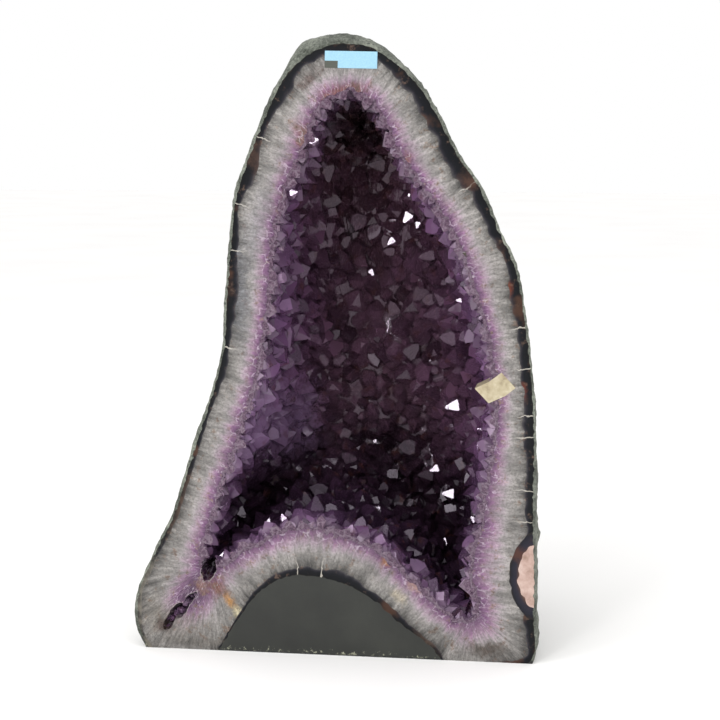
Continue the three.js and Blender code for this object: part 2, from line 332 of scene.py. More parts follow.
shape = {
    "rockDepth": (rockHigh.y - rockLow.y) / mm,
    "agateDepth": (rockHigh.y - rockLow.y) / mm - 14,
    "quartzDepth": (quartzHigh.y - quartzLow.y) / mm - 4,
    "hollowDepth": (bedHigh.y - bedLow.y) / mm - 12,
    "rockPower": 2.2,
    "wallPower": 2.3,
    "hollowPower": 3.0,
    "footOutside": 5.0,  # foot of the points outside the rim
}
end = np.array(outline["hollowEnd"], float)


def ovalOf(loop):
    low, high = loop.min(axis=0), loop.max(axis=0)
    middle, half = (low + high) / 2, (high - low) / 2
    start = math.atan2((loop[0, 1] - middle[1]) / half[1], (loop[0, 0] - middle[0]) / half[0])
    turn = start + 2 * math.pi * np.arange(len(loop)) / len(loop)
    return middle + half * np.stack([np.cos(turn), np.sin(turn)], axis=1)


def domeRings(loop, shares, depth, power, swell=None):
    # Rings behind the face: at share s of the depth the loop has shrunk towards the end point by
    # (1 - s^power)^(1/power), and on the way it turns into its oval.
    s = np.asarray(shares, float)[:, None, None]
    shrink = (1 - s ** power) ** (1 / power)
    rounded = loop[None] * (1 - s ** 4) + ovalOf(loop)[None] * s ** 4
    flat = end + (rounded - end) * shrink
    if swell is not None:
        flat = flat + swell(loop, s)
    depths = np.broadcast_to(depth * s, flat[..., :1].shape)
    return np.concatenate([flat[..., :1], depths, flat[..., 1:]], axis=-1)


def rockSwell(loop, s):
    # the bulge of each column grows over the first 12 mm of depth and dies away towards the back
    away = (loop - end) / np.linalg.norm(loop - end, axis=1)[:, None]
    side = np.maximum(0, away @ np.array([-0.9, 0.44]))[None, :, None]
    grown = (1 - np.exp(-s * shape["rockDepth"] / 12)) * (1 - s)
    lumps = np.sin(loop[None, :, :1] / 23 + s * 7) * np.sin(loop[None, :, 1:2] / 31 + s * 5)
    size = bulge[None, :, None] * grown + 4 * side * np.sin(math.pi * s ** 0.9) + lumps * np.sin(math.pi * s)
    return away[None] * size


def innerSwell(loop, s):
    # the unseen shells inside keep well under the rock's rough skin
    away = (loop - end) / np.linalg.norm(loop - end, axis=1)[:, None]
    under = 6.5 * (1 - np.exp(-s * shape["rockDepth"] / 14)) * (1 - s ** 6)
    return rockSwell(loop, s) - away[None] * under


def faceRings(inner, outer, rows, crowd=1.0):
    # flat rings on the sawn face from the inner to the outer loop
    t = (np.linspace(0, 1, rows) ** crowd)[:, None, None]
    flat = inner[None] * (1 - t) + outer[None] * t
    return np.stack([flat[..., 0], np.zeros(flat.shape[:2]), flat[..., 1]], axis=-1)


def lengthAlong(loop):
    step = np.linalg.norm(np.roll(loop, -1, axis=0) - loop, axis=1)
    return np.concatenate([[0], np.cumsum(step)[:-1]])


def lengthAcross(rings):
    step = np.linalg.norm(np.diff(rings, axis=0), axis=2)
    return np.concatenate([np.zeros((1, rings.shape[1])), np.cumsum(step, axis=0)])


def sweepShares(count, last=0.998):
    return np.sin(np.linspace(0, math.pi / 2, count + 1)[1:] * last)


basalt = {
    "rings": 120,
    "lump": 2.4, "lumpLength": 52,
    "knob": 0.9, "knobLength": 19,
    "grain": 0.55, "grainLength": 6.5,
    "pits": 1.5, "pitLength": 8,
}


def makeBasalt():
    rows = faceRings(agateLoop, faceLoop, 8)
    shares = sweepShares(basalt["rings"], 0.997)
    outside = domeRings(faceLoop, shares, shape["rockDepth"] - 2, shape["rockPower"], rockSwell)
    # the broken skin: big lumps, knobs, grain and gas pits pushed along the skin's own direction
    along = np.roll(outside, -1, axis=1) - np.roll(outside, 1, axis=1)
    back = np.gradient(outside, axis=0)
    normal = np.cross(along, back)
    normal /= np.maximum(np.linalg.norm(normal, axis=2), 1e-9)[..., None]
    middle = outside.mean(axis=(0, 1))
    if ((outside - middle) * normal).sum() < 0:
        normal = -normal
    flat = outside.reshape(-1, 3)
    rough = basalt["lump"] * ripples(flat, basalt["lumpLength"], 11)
    rough += basalt["knob"] * ripples(flat, basalt["knobLength"], 12, 24)
    rough += basalt["grain"] * ripples(flat, basalt["grainLength"], 13, 30)
    rough -= basalt["pits"] * np.maximum(0, ripples(flat, basalt["pitLength"], 14, 30) - 0.9)
    fade = np.clip(outside[..., 1] / 45, 0.12, 1)[..., None]
    outside = outside + normal * rough.reshape(outside.shape[:2])[..., None] * fade
    inner = domeRings(agateLoop, sweepShares(16)[::-1], shape["agateDepth"], shape["wallPower"], innerSwell)
    rings = np.concatenate([inner, rows, outside])
    sawn = np.zeros(rings.shape[:2])
    sawn[len(inner):len(inner) + len(rows)] = 1
    sawn[len(inner):len(inner) + len(rows), outline["sideColumns"]:] = 2
    ends = [(end[0], shape["agateDepth"], end[1]), (end[0], shape["rockDepth"] - 2, end[1])]
    piece = ringPiece("rock", rings, ends, lengthAlong(faceLoop), lengthAcross(rings), {"sawn": sawn})
    faceOutwards(piece)
    sawBase(piece)
    shadeSmooth(piece, 42)
    return piece


noduleSize = {"x": 139.5, "z": 72, "wide": 12.5, "high": 26, "agate": 7}


def makeAgate():
    outside = domeRings(agateLoop, sweepShares(16)[::-1], shape["agateDepth"], shape["wallPower"], innerSwell)
    inside = domeRings(quartzLoop, sweepShares(16), shape["quartzDepth"], shape["wallPower"], innerSwell)
    face = faceRings(agateLoop, quartzLoop, 9)
    rings = np.concatenate([outside, face, inside])
    share = np.zeros(rings.shape[:2])
    share[len(outside):len(outside) + len(face)] = np.linspace(0, 1, len(face))[:, None]
    share[len(outside) + len(face):] = 1
    across = lengthAcross(rings)
    across = across - across[len(outside)][None]
    ends = [(end[0], shape["agateDepth"], end[1]), (end[0], shape["quartzDepth"], end[1])]
    piece = ringPiece("agateBand", rings, ends, lengthAlong(agateLoop), across, {"share": share})
    faceOutwards(piece)
    sawBase(piece)
    shadeSmooth(piece, 40)
    return piece


quartz = {
    "faceRows": 30,
    # open cracks in the lower left: x, z, length, width, turn in degrees, depth
    "holes": [(-158, 23, 16, 8, 62, 12), (-150, 32, 18, 11, 38, 12), (-141, 42, 16, 6, 47, 9),
              (-124.5, 68, 20, 12, 76, 18)],
}


def turnedBy(flat, degrees):
    cos, sin = math.cos(math.radians(degrees)), math.sin(math.radians(degrees))
    return flat @ np.array([[cos, sin], [-sin, cos]])


def makeHole(x, z, length, width, turn, depth):
    # a ragged lens-shaped crack into the sawn face; its share values paint its walls purple and darker deeper
    # in, painted shade
    rows, columns = 9, 28
    shares = np.linspace(0, 1, rows)
    around = np.linspace(0, 2 * math.pi, columns, endpoint=False)
    flat = np.stack([np.cos(around) * length / 2, np.sin(around) * width / 2], axis=1)
    flat *= (1 + 0.12 * ripples(flat, 7, int(abs(x))))[:, None]
    turned = turnedBy(flat, turn)
    size = np.sqrt(1 - (shares * 0.97) ** 2)[:, None, None]
    ring = turned[None] * size + (x, z)
    depths = np.broadcast_to((-1 + (depth + 1) * shares)[:, None, None], ring[..., :1].shape)
    rings = np.concatenate([ring[..., :1], depths, ring[..., 1:]], axis=-1)
    values = np.broadcast_to(0.93 + 0.4 * shares[:, None], rings.shape[:2])
    piece = ringPiece("hole", rings, [(x, -1.2, z), (x, depth + 0.2, z)], lengthAlong(turned),
                      lengthAcross(rings), {"share": values})
    faceOutwards(piece)
    return piece


# the edge between quartz and amethyst zigzags round the crystals
zigzag = 1.5 * ripples(rimLoop, 9, 31) + 0.8 * ripples(rimLoop, 4.5, 32)
wallLoop = rimLoop + outward(rimLoop) * (shape["footOutside"] + zigzag)[:, None]


def superRings(loop, count):
    # rings of the hollow's wall: at angle a the ring lies at depth r cos a and has shrunk to
    # r sin a, where r makes the two a superellipse, so the rings are evenly spread
    angle = np.linspace(math.pi / 2, 0.03, count)[:, None, None]
    power = shape["hollowPower"]
    reach = (np.cos(angle) ** power + np.sin(angle) ** power) ** (-1 / power)
    flat = end + (loop[None] - end) * reach * np.sin(angle)
    depths = np.broadcast_to(shape["hollowDepth"] * reach * np.cos(angle), flat[..., :1].shape)
    return np.concatenate([flat[..., :1], depths, flat[..., 1:]], axis=-1)


def makeQuartz():
    inward = matchRim(quartzLoop, wallLoop)
    outside = domeRings(quartzLoop, sweepShares(16)[::-1], shape["quartzDepth"], shape["wallPower"],
                        innerSwell)
    face = faceRings(quartzLoop, inward, quartz["faceRows"])
    hollow = superRings(inward, 46)[1:]
    rings = np.concatenate([outside, face, hollow])
    share = np.zeros(rings.shape[:2])
    start = len(outside)
    share[start:start + len(face)] = np.linspace(0, 1, len(face))[:, None]
    share[start + len(face):] = np.linspace(1, 2, len(hollow))[:, None]
    across = lengthAcross(rings)
    across = across - across[start][None]
    ends = [(end[0], shape["quartzDepth"], end[1]), (end[0], shape["hollowDepth"], end[1])]
    piece = ringPiece("quartzWall", rings, ends, lengthAlong(quartzLoop), across, {"share": share})
    faceOutwards(piece)
    sawBase(piece)
    for hole in quartz["holes"]:
        combine(piece, makeHole(*hole), "DIFFERENCE")
    return piece


points = {
    "tries": 9000, "packing": 0.66,
    "smallest": 3.0, "largest": 9.6, "favour": 1.5,  # half widths, and how much smaller ones are favoured
    "rimSize": 0.58, "rimDepth": 30,  # points at the rim are smaller
    "tilt": 0.27,
    "shaft": 7.0,
    "slope": 51.8,  # between a tip face and the foot, in quartz
    "behindFace": 0.15,
    "lump": 3.5, "lumpLength": 58,
    "layer": 2.6,  # from the quartz to the feet of the points
    # where the brightest facets are seen against the sawn face's plane: x, z and half width
    "glints": [
        (40.9, 359.2, 6.0), (48, 354.5, 3.5), (29.2, 336.5, 4.5), (44.7, 377.8, 3.0), (-111.4, 114.5, 5.0),
        (-88.8, 137.6, 4.0), (-57, 373, 4.0), (-68.5, 345, 3.5), (-41, 414.6, 4.5), (80.3, 207, 7.5),
        (64.9, 158.4, 5.0), (76.2, 136, 6.5), (93.8, 114, 3.5), (66.9, 91, 4.0), (-74.3, 103, 3.5),
        (-59.5, 109, 3.5), (-31, 106.5, 3.5), (-114.3, 75.3, 3.0), (8.7, 316, 3.5), (83.6, 289.4, 4.0),
    ],
}


def unit(vector):
    return vector / np.linalg.norm(vector, axis=-1, keepdims=True)


def layerRings(count):
    # the skin that the points stand on, lumpier with depth
    rings = superRings(wallLoop - outward(wallLoop) * points["layer"], count)
    rings[..., 1] *= 1 - points["layer"] / shape["hollowDepth"]
    normal = unit(np.array([end[0], shape["hollowDepth"] * 0.3, end[1]]) - rings)
    lump = ripples(rings.reshape(-1, 3), points["lumpLength"], 22).reshape(rings.shape[:2])
    lump = points["lump"] * (1 + lump)
    return rings + normal * (lump * np.clip(rings[..., 1] / 40, 0, 1))[..., None]


def wallSamples(random):
    # places on the wall of the hollow, each as likely per area, with the wall's own direction
    inside = layerRings(60)
    lead = inside[:1].copy()
    lead[..., 1] = -5
    grid = np.concatenate([lead, inside])
    near = np.roll(grid, -1, axis=1)
    a, b, c, d = grid[:-1], grid[1:], near[1:], near[:-1]
    cross = np.cross(c - a, b - d)
    area = np.linalg.norm(cross, axis=2)
    chosen = random.choice(area.size, points["tries"], p=(area / area.sum()).ravel())
    s, t = random.random((2, len(chosen), 1))
    corners = [corner.reshape(-1, 3)[chosen] for corner in (a, b, c, d)]
    here = (corners[0] * (1 - s) + corners[1] * s) * (1 - t) + (corners[3] * (1 - s) + corners[2] * s) * t
    normal = (cross / np.maximum(area, 1e-9)[..., None]).reshape(-1, 3)[chosen]
    centre = np.array([end[0], shape["hollowDepth"] * 0.3, end[1]])
    normal *= np.sign(((centre - here) * normal).sum(axis=1))[:, None]
    return here, normal


def packed(here, size):
    # largest first, a place is kept if its point stands clear enough of those kept before
    order = np.argsort(-size)
    kept = []
    for k in order:
        if not kept or (np.linalg.norm(here[kept] - here[k], axis=1)
                        > (size[kept] + size[k]) * points["packing"]).all():
            kept.append(k)
    return np.array(kept)


def glintPoints(here, normal):
    # A point whose large tip face mirrors the small light to the camera: that face's direction is
    # halfway between them, and the point's axis leans from it by the slope towards the wall's.
    camera = np.array([cameraPlace.x / mm - shiftX, cameraPlace.y / mm - faceY, cameraPlace.z / mm])
    hot = np.array(studio["hotPlace"]) / mm - np.array([shiftX, faceY, 0])
    feet, axes, faces, sizes = [], [], [], []
    for x, z, size in points["glints"]:
        sight = unit(np.array([x, 0, z]) - camera)
        away = here - camera
        beside = np.linalg.norm(np.cross(away, sight), axis=1)
        k = beside.argmin()
        mirror = unit(unit(hot - here[k]) + unit(camera - here[k]))
        lean = unit(normal[k] - mirror * (normal[k] @ mirror))
        slope = math.radians(points["slope"])
        feet.append(here[k])
        axes.append(mirror * math.cos(slope) + lean * math.sin(slope))
        faces.append(mirror)
        sizes.append(size)
    return np.array(feet), np.array(axes), np.array(faces), np.array(sizes)


def crystalShape(cut):
    # One point: a six-sided prism with three large tip faces that meet at the apex and three
    # smaller ones between them, lowered by cut. Apothem 1, foot ring at height 0.
    steep = math.tan(math.radians(points["slope"]))
    apex = steep
    corner = 1 / math.cos(math.radians(30))
    vertices = [(0, 0, apex)]
    drop = cut * steep  # how far below the apex the smaller faces begin
    minor = [math.radians(a) for a in (60, 180, 300)]
    for a in minor:
        out = 2 * drop / steep
        vertices.append((out * math.cos(a), out * math.sin(a), apex - drop))
    half = (0.5 - drop / steep) / math.cos(math.radians(30))
    for a in minor:
        for side in (-1, 1):
            x = math.cos(a) - side * half * math.sin(a)
            y = math.sin(a) + side * half * math.cos(a)
            vertices.append((x, y, drop))
    ring = [math.radians(30 + 60 * k) for k in range(6)]
    for height in (0, -1):
        for a in ring:
            vertices.append((corner * math.cos(a), corner * math.sin(a), height))
    n, q, r, b = 1, 4, 10, 16  # first of the nodes, minor edges, foot ring and shaft end
    faces = []
    for k in range(3):
        previous = (k + 2) % 3
        # large face between minor faces previous and k: apex, node, edge, ring, ring, edge, node
        ringA = (2 * k - 1) % 6
        ringB = (2 * k) % 6
        faces.append((0, n + previous, q + 2 * previous + 1, r + ringA, r + ringB, q + 2 * k, n + k))
        faces.append((n + k, q + 2 * k, q + 2 * k + 1))
        faces.append((r + ringA, b + ringA, b + ringB, r + ringB))
        ringC = (2 * k + 1) % 6
        faces.append((q + 2 * k, r + ringB, b + ringB, b + ringC, r + ringC, q + 2 * k + 1))
    faces.append(tuple(b + k for k in range(5, -1, -1)))
    return np.array(vertices), faces


def makePoints():
    random = np.random.default_rng(21)
    here, normal = wallSamples(random)
    size = points["smallest"] + (points["largest"] - points["smallest"]) * (
        random.random(len(here)) ** points["favour"])
    share = np.clip(here[:, 1] / points["rimDepth"], 0, 1)
    size *= points["rimSize"] + (1 - points["rimSize"]) * share
    feet, axes, mirrors, glintSizes = glintPoints(here, normal)
    kept = packed(here, size)
    clear = np.linalg.norm(here[kept][:, None] - feet[None], axis=2) > glintSizes * 1.6
    kept = kept[clear.all(axis=1)]
    axis = unit(normal + random.normal(scale=points["tilt"], size=normal.shape))[kept]
    here, normal, size = here[kept], normal[kept], size[kept]
    side = unit(np.cross(axis, random.normal(size=axis.shape)))
    rise = random.uniform(-2.0, 2.0, len(here))
    # the glints: the large face's own direction fixes the turn about the axis
    turned = unit(mirrors - axes * (mirrors * axes).sum(axis=1)[:, None])
    here = np.concatenate([here, feet])
    axis = np.concatenate([axis, axes])
    side = np.concatenate([side, turned])
    size = np.concatenate([size, glintSizes])
    rise = np.concatenate([rise, np.full(len(feet), 6.0)])
    # small points that stand in the cracks and look forward
    cracks = []
    for x, z, length, width, turn, depth in quartz["holes"][:-1]:
        spread = random.uniform(-0.42, 0.42, (7, 1)) * length
        along = np.array([math.cos(math.radians(turn)), math.sin(math.radians(turn))])
        spot = np.array([x, z]) + spread * along + random.normal(scale=width * 0.16, size=(7, 2))
        cracks.append(np.stack([spot[:, 0], np.full(7, depth * 0.75), spot[:, 1]], axis=1))
    cracks = np.concatenate(cracks)
    crackAxis = unit(np.array([0, -1.0, 0]) + random.normal(scale=0.35, size=cracks.shape))
    here = np.concatenate([cracks, here])
    axis = np.concatenate([crackAxis, axis])
    side = np.concatenate([unit(np.cross(crackAxis, random.normal(size=cracks.shape))), side])
    size = np.concatenate([random.uniform(1.6, 3.2, len(cracks)), size])
    rise = np.concatenate([random.uniform(-1, 2, len(cracks)), rise])
    count = len(here)
    cuts = random.uniform(0.06, 0.36, count)
    squash = random.uniform(0.72, 1.0, count)
    cuts[-len(feet):] = 0.12
    squash[-len(feet):] = 1
    other = np.cross(axis, side)
    group = bpy.data.collections.new("points")
    bpy.context.scene.collection.children.link(group)
    for k in range(count):
        local, faces = crystalShape(cuts[k])
        local = local * np.array([size[k], size[k] * squash[k], size[k]])
        local[local[:, 2] < 0, 2] = -points["shaft"]
        local[:, 2] += rise[k]
        place = here[k] + local[:, :1] * side[k] + local[:, 1:2] * other[k] + local[:, 2:] * axis[k]
        mesh = bpy.data.meshes.new("point")
        mesh.from_pydata(toFrame(place).tolist(), [], faces)
        # each point has a tone, and each of its faces one near it, as if light came through
        tone = mesh.attributes.new("tone", "FLOAT", "FACE")
        tones = random.random() * 0.55 + random.random(len(faces)) * 0.45
        tone.data.foreach_set("value", tones.astype(np.float32))
        group.objects.link(bpy.data.objects.new("point", mesh))
    print("points", count)
    return group


def bedLayer():
    # the skin that the points stand on: the wall of the hollow given a thickness
    inside = layerRings(60)
    outer = superRings(wallLoop + outward(wallLoop) * 1.5, 60)
    outer[..., 1] *= 1 + 1.5 / shape["hollowDepth"]
    front, frontOuter = inside[:1].copy(), outer[:1].copy()
    front[..., 1] = frontOuter[..., 1] = -4
    rings = np.concatenate([outer[::-1], frontOuter, front, inside])
    ends = [(end[0], shape["hollowDepth"] + 1.5, end[1]), (end[0], inside[-1, :, 1].mean(), end[1])]
    piece = ringPiece("amethystPoints", rings, ends, lengthAlong(wallLoop), lengthAcross(rings), {})
    tone = piece.data.attributes.new("tone", "FLOAT", "FACE")
    tone.data.foreach_set("value", np.full(len(piece.data.polygons), 0.5, np.float32))
    faceOutwards(piece)
    return piece


def makeAmethyst():
    piece = bedLayer()
    group = makePoints()
    join = piece.modifiers.new("join", "BOOLEAN")
    join.operation = "UNION"
    join.solver = "MANIFOLD"
    join.operand_type = "COLLECTION"
    join.collection = group
    made = bpy.data.meshes.new_from_object(piece.evaluated_get(bpy.context.evaluated_depsgraph_get()))
    piece.modifiers.clear()
    piece.data = made
    for single in list(group.objects):
        bpy.data.objects.remove(single)
    bpy.data.collections.remove(group)
    low = (-0.4, (faceY + points["behindFace"]) * mm, 0.0002)
    kept = box("kept", low, (0.4, 0.4, 0.7))
    combine(piece, kept, "INTERSECT")
    combine(piece, makeHole(*quartz["holes"][-1]), "DIFFERENCE")
    return piece


def linear(hexColour):
    # sRGB hex to linear light
    channels = [int(hexColour[i:i + 2], 16) / 255 for i in (1, 3, 5)]
    return [c / 12.92 if c <= 0.04045 else ((c + 0.055) / 1.055) ** 2.4 for c in channels] + [1.0]


def feed(tree, node, inputs):
    # gives each named or numbered socket its value, or its link if it gets another node's socket
    for key, value in inputs.items():
        if isinstance(value, bpy.types.NodeSocket):
            tree.links.new(value, node.inputs[key])
        else:
            node.inputs[key].default_value = value


def addNode(tree, kind, settings=None, inputs=None, stops=None):
    # one node with its own settings, its values or links, and the stops of a colour ramp
    node = tree.nodes.new("ShaderNode" + kind)
    for key, value in (settings or {}).items():
        setattr(node, key, value)
    feed(tree, node, inputs or {})
    if stops:
        ramp = node.color_ramp.elements
        ramp[1].position, ramp[0].position = stops[-1][0], stops[0][0]
        for k, (place, colour) in enumerate(stops):
            middle = 0 < k < len(stops) - 1
            element = ramp.new(place) if middle else ramp[0 if k == 0 else len(ramp) - 1]
            element.color = linear(colour)
    return node


# the commonest nodes, each given back as the socket that the next one reads

def mapRange(tree, value, low, high, newLow, newHigh, smooth=False):
    # carries low to high over to newLow to newHigh, and holds it there beyond them
    settings = {"interpolation_type": "SMOOTHSTEP"} if smooth else None
    return addNode(tree, "MapRange", settings, {0: value, 1: low, 2: high, 3: newLow, 4: newHigh}).outputs[0]


def maths(tree, operation, *values):
    return addNode(tree, "Math", {"operation": operation}, dict(enumerate(values))).outputs[0]


def mixColours(tree, share, first, second):
    second = linear(second) if isinstance(second, str) else second
    return addNode(tree, "Mix", {"data_type": "RGBA"}, {0: share, 6: first, 7: second}).outputs[2]


def brighten(tree, colour, by):
    return addNode(tree, "VectorMath", {"operation": "SCALE"}, {0: colour, "Scale": by}).outputs[0]


def colourRamp(tree, value, stops):
    return addNode(tree, "ValToRGB", inputs={0: value}, stops=stops).outputs[0]


def noiseField(tree, place, scale, detail, roughness=0.5):
    # grey noise from 0 to 1, with scale lumps to the metre
    return addNode(tree, "TexNoise", inputs={
        "Vector": place, "Scale": scale, "Detail": detail, "Roughness": roughness}).outputs["Fac"]


def bump(tree, skin, height, strength, distance):
    # shading as if height, from 0 to 1, rose by distance in metres
    raised = addNode(tree, "Bump", inputs={"Height": height, "Strength": strength, "Distance": distance})
    tree.links.new(raised.outputs[0], skin.inputs["Normal"])


def newMaterial(name):
    # a material with its tree, its skin shader and the place that its patterns are read at
    material = bpy.data.materials.new(name)
    material.use_nodes = True
    tree = material.node_tree
    return material, tree, tree.nodes["Principled BSDF"], addNode(tree, "TexCoord").outputs["Object"]


def stainAndShadePatches(tree, colour, place, spots, depth=0.03):
    # soft coloured patches, stains, and in the amethyst painted shade: each is x, z, half width, half height,
    # turn in degrees, colour, strength
    noise = noiseField(tree, place, 150, 5, 0.7)
    for x, z, wide, high, turn, tint, strength in spots:
        middle = ((x + shiftX) * mm, faceY * mm, z * mm)
        local = addNode(tree, "Mapping", {"vector_type": "TEXTURE"}, {
            "Vector": place, "Location": middle, "Rotation": (0, -math.radians(turn), 0),
            "Scale": (wide * mm, depth, high * mm)})
        ball = addNode(tree, "TexGradient", {"gradient_type": "SPHERICAL"}, {"Vector": local.outputs[0]})
        ragged = maths(tree, "MULTIPLY_ADD", noise, 1.6, ball.outputs["Fac"])
        mask = mapRange(tree, ragged, 0.9, 1.75, 0.0, strength, smooth=True)
        colour = mixColours(tree, mask, colour, tint)
    return colour


# pale veins across the agate: heights on the right and left side, and x over the mound
veins = {"right": [384, 270, 238, 201, 184, 140, 116.6, 46], "left": [419, 367, 329, 251],
         "mound": [-50, -31], "width": 0.9}


def veinLines(tree, band, loop):
    # 1 on each vein, 0 beside it, read from the length along the agate
    along = lengthAlong(loop)
    sideEnd = outline["sideColumns"]
    turn = int(agateLoop[:sideEnd, 1].argmax())
    spots = [along[np.abs(agateLoop[:turn, 1] - z).argmin()] for z in veins["right"]]
    spots += [along[turn + np.abs(agateLoop[turn:sideEnd, 1] - z).argmin()] for z in veins["left"]]
    spots += [along[sideEnd + np.abs(agateLoop[sideEnd:, 0] - x).argmin()] for x in veins["mound"]]
    wander = noiseField(tree, band, 160, 2)
    parts = addNode(tree, "SeparateXYZ", inputs={0: band})
    bent = maths(tree, "MULTIPLY_ADD", wander, 0.005, parts.outputs[0])
    lines = 0.0
    for spot in spots:
        here = maths(tree, "COMPARE", bent, spot * mm + 0.0025, veins["width"] * mm / 2)
        lines = maths(tree, "MAXIMUM", here, lines)
    return lines


def quartzMaterial():
    # Milky columnar quartz, polished: fibres that run towards the hollow, dark and clear next to
    # the agate, lavender and then purple near the rim with pale lines between the columns.
    material, tree, skin, place = newMaterial("milky quartz, sawn and polished")
    band = addNode(tree, "UVMap", {"uv_map": "band"}).outputs[0]
    share = addNode(tree, "Attribute", {"attribute_name": "share"}).outputs["Fac"]
    # fibres 1.3 mm wide and 11 mm long; real ones are finer
    stretch = addNode(tree, "Mapping", inputs={"Vector": band, "Scale": (480, 170, 1)})
    fibre = addNode(tree, "TexNoise", {"noise_dimensions": "2D"},
                    {"Vector": stretch.outputs[0], "Scale": 1, "Detail": 5, "Roughness": 0.68,
                     "Distortion": 0.5})
    broad = addNode(tree, "Mapping", inputs={"Vector": band, "Scale": (190, 45, 1)})
    columns = addNode(tree, "TexNoise", {"noise_dimensions": "2D"},
                      {"Vector": broad.outputs[0], "Scale": 1, "Detail": 2, "Roughness": 0.6})
    cloud = noiseField(tree, place, 55, 4)
    # zones: the share of the way to the rim, shaken by the columns
    shaken = maths(tree, "MULTIPLY_ADD", columns.outputs["Fac"], 0.34, share)
    wavy = maths(tree, "MULTIPLY_ADD", cloud, 0.30, shaken)
    zone = maths(tree, "MULTIPLY_ADD", wavy, 0.5, -0.145)
    cracks = addNode(tree, "Mapping", {"vector_type": "TEXTURE"}, {
        "Vector": place, "Location": ((-146 + shiftX) * mm, faceY * mm, 0.040),
        "Rotation": (0, -math.radians(42), 0), "Scale": (0.042, 0.06, 0.025)})
    nearCrack = addNode(tree, "TexGradient", {"gradient_type": "SPHERICAL"},
                        {"Vector": cracks.outputs[0]})
    zone = maths(tree, "MULTIPLY_ADD", nearCrack.outputs["Fac"], 0.26, zone)
    colour = colourRamp(tree, zone, [
        (0.0, "#403e3c"), (0.03, "#5a5754"), (0.10, "#767370"), (0.19, "#827e7b"), (0.27, "#8b8585"),
        (0.34, "#8d7e87"), (0.40, "#826b7b"), (0.45, "#72526e"), (0.50, "#5c3c5b"), (0.56, "#452a45"),
        (0.8, "#2f1f33")])
    stained = stainAndShadePatches(tree, colour, place, [
        (-150, 20, 46, 22, 0, "#6b655f", 0.6), (-168, 30, 22, 30, 0, "#6d675f", 0.7),
        (-117, 52, 17, 12, -42, "#5f3520", 0.9), (-107, 41.5, 12, 7.5, -48, "#a8742c", 0.85),
        (-101, 33.5, 10, 7, -50, "#c6bb98", 0.7), (-130, 53, 10, 10, 0, "#755544", 0.75),
        (20.5, 79, 9, 7, 0, "#96632e", 0.8), (43.5, 60, 12, 8, -40, "#a98a78", 0.6),
        (31, 52, 14, 8, -40, "#b3a68c", 0.55), (-12, 452, 30, 12, 10, "#6b4032", 0.8),
        (-44, 415, 12, 30, 20, "#6a4a3e", 0.75), (-58, 372, 9, 26, -20, "#6c4c3f", 0.7),
        (81, 327, 6.5, 4.2, 0, "#2f2b13", 1.0), (34, 396, 9, 16, -30, "#6f483a", 0.7),
        (58, 359, 8, 8, 0, "#7a5236", 0.7), (102, 10, 30, 11, 0, "#40362e", 0.9),
        (-135, 6, 60, 7, 0, "#5f5a54", 0.7), (-163, 18, 12, 10, 30, "#3c2c26", 0.9),
        (-96, 290, 15, 62, 0, "#585b63", 0.6), (-101, 330, 12, 26, 0, "#4d5058", 0.5),
        (-84, 345, 17, 75, -14, "#6c6b6e", 0.6), (-40, 463, 26, 9, 42, "#40302c", 0.85)])
    # fibres as light and dark strands
    strand = mapRange(tree, fibre.outputs["Fac"], 0.30, 0.72, 0.80, 1.20)
    stranded = brighten(tree, stained, strand)
    # bundles of strands, some milky and some clear
    bundle = mapRange(tree, columns.outputs["Fac"], 0.32, 0.68, 0.78, 1.22)
    stranded = brighten(tree, stranded, bundle)
    haze = mapRange(tree, cloud, 0.34, 0.66, 0.80, 1.22)
    stranded = brighten(tree, stranded, haze)
    # glassy grains between the strands, pale and dark
    grain = noiseField(tree, place, 520, 3, 0.6)
    grained = mapRange(tree, grain, 0.34, 0.66, 0.78, 1.22)
    stranded = brighten(tree, stranded, grained)
    # dark clear specks, most of them near the agate
    speck = noiseField(tree, place, 430, 3, 0.7)
    nearAgate = mapRange(tree, share, 0.0, 0.7, 0.62, 0.0)
    speckMask = mapRange(tree, speck, 0.50, 0.62, 0.0, 1.0)
    darkened = maths(tree, "MULTIPLY", speckMask, nearAgate)
    speckled = mixColours(tree, darkened, stranded, "#4e4b47")
    # outlines of crystal columns in the purple part, cells 6 mm wide and 9 mm long
    cells = addNode(tree, "Mapping", inputs={"Vector": band, "Scale": (165, 110, 1)})
    warp = addNode(tree, "TexNoise", inputs={"Vector": place, "Scale": 240, "Detail": 2})
    warped = addNode(tree, "VectorMath", {"operation": "MULTIPLY_ADD"},
                     {0: warp.outputs["Color"], 1: (1.3, 1.3, 0), 2: cells.outputs[0]})
    edge = addNode(tree, "TexVoronoi", {"voronoi_dimensions": "2D", "feature": "DISTANCE_TO_EDGE"},
                   {"Vector": warped.outputs[0], "Scale": 1})
    line = mapRange(tree, edge.outputs["Distance"], 0.0, 0.10, 0.75, 0.0)
    purple = mapRange(tree, zone, 0.30, 0.44, 0.0, 0.75, smooth=True)
    lineMask = maths(tree, "MULTIPLY", line, purple)
    gaps = mapRange(tree, warp.outputs["Fac"], 0.42, 0.60, 0.0, 0.9)
    broken = maths(tree, "MULTIPLY", lineMask, gaps)
    outlined = mixColours(tree, broken, speckled, "#d3c6d2")
    # veins go on into the quartz a little way
    fade = mapRange(tree, share, 0.0, 0.35, 0.55, 0.0)
    vein = maths(tree, "MULTIPLY", veinLines(tree, band, quartzLoop), fade)
    veined = mixColours(tree, vein, outlined, "#d8d2c8")
    roughness = mapRange(tree, fibre.outputs["Fac"], 0.3, 0.7, 0.2, 0.42)
    bump(tree, skin, fibre.outputs["Fac"], 0.25, 0.0006)
    feed(tree, skin, {"Base Color": veined, "Roughness": roughness, "IOR": 1.54})
    return material


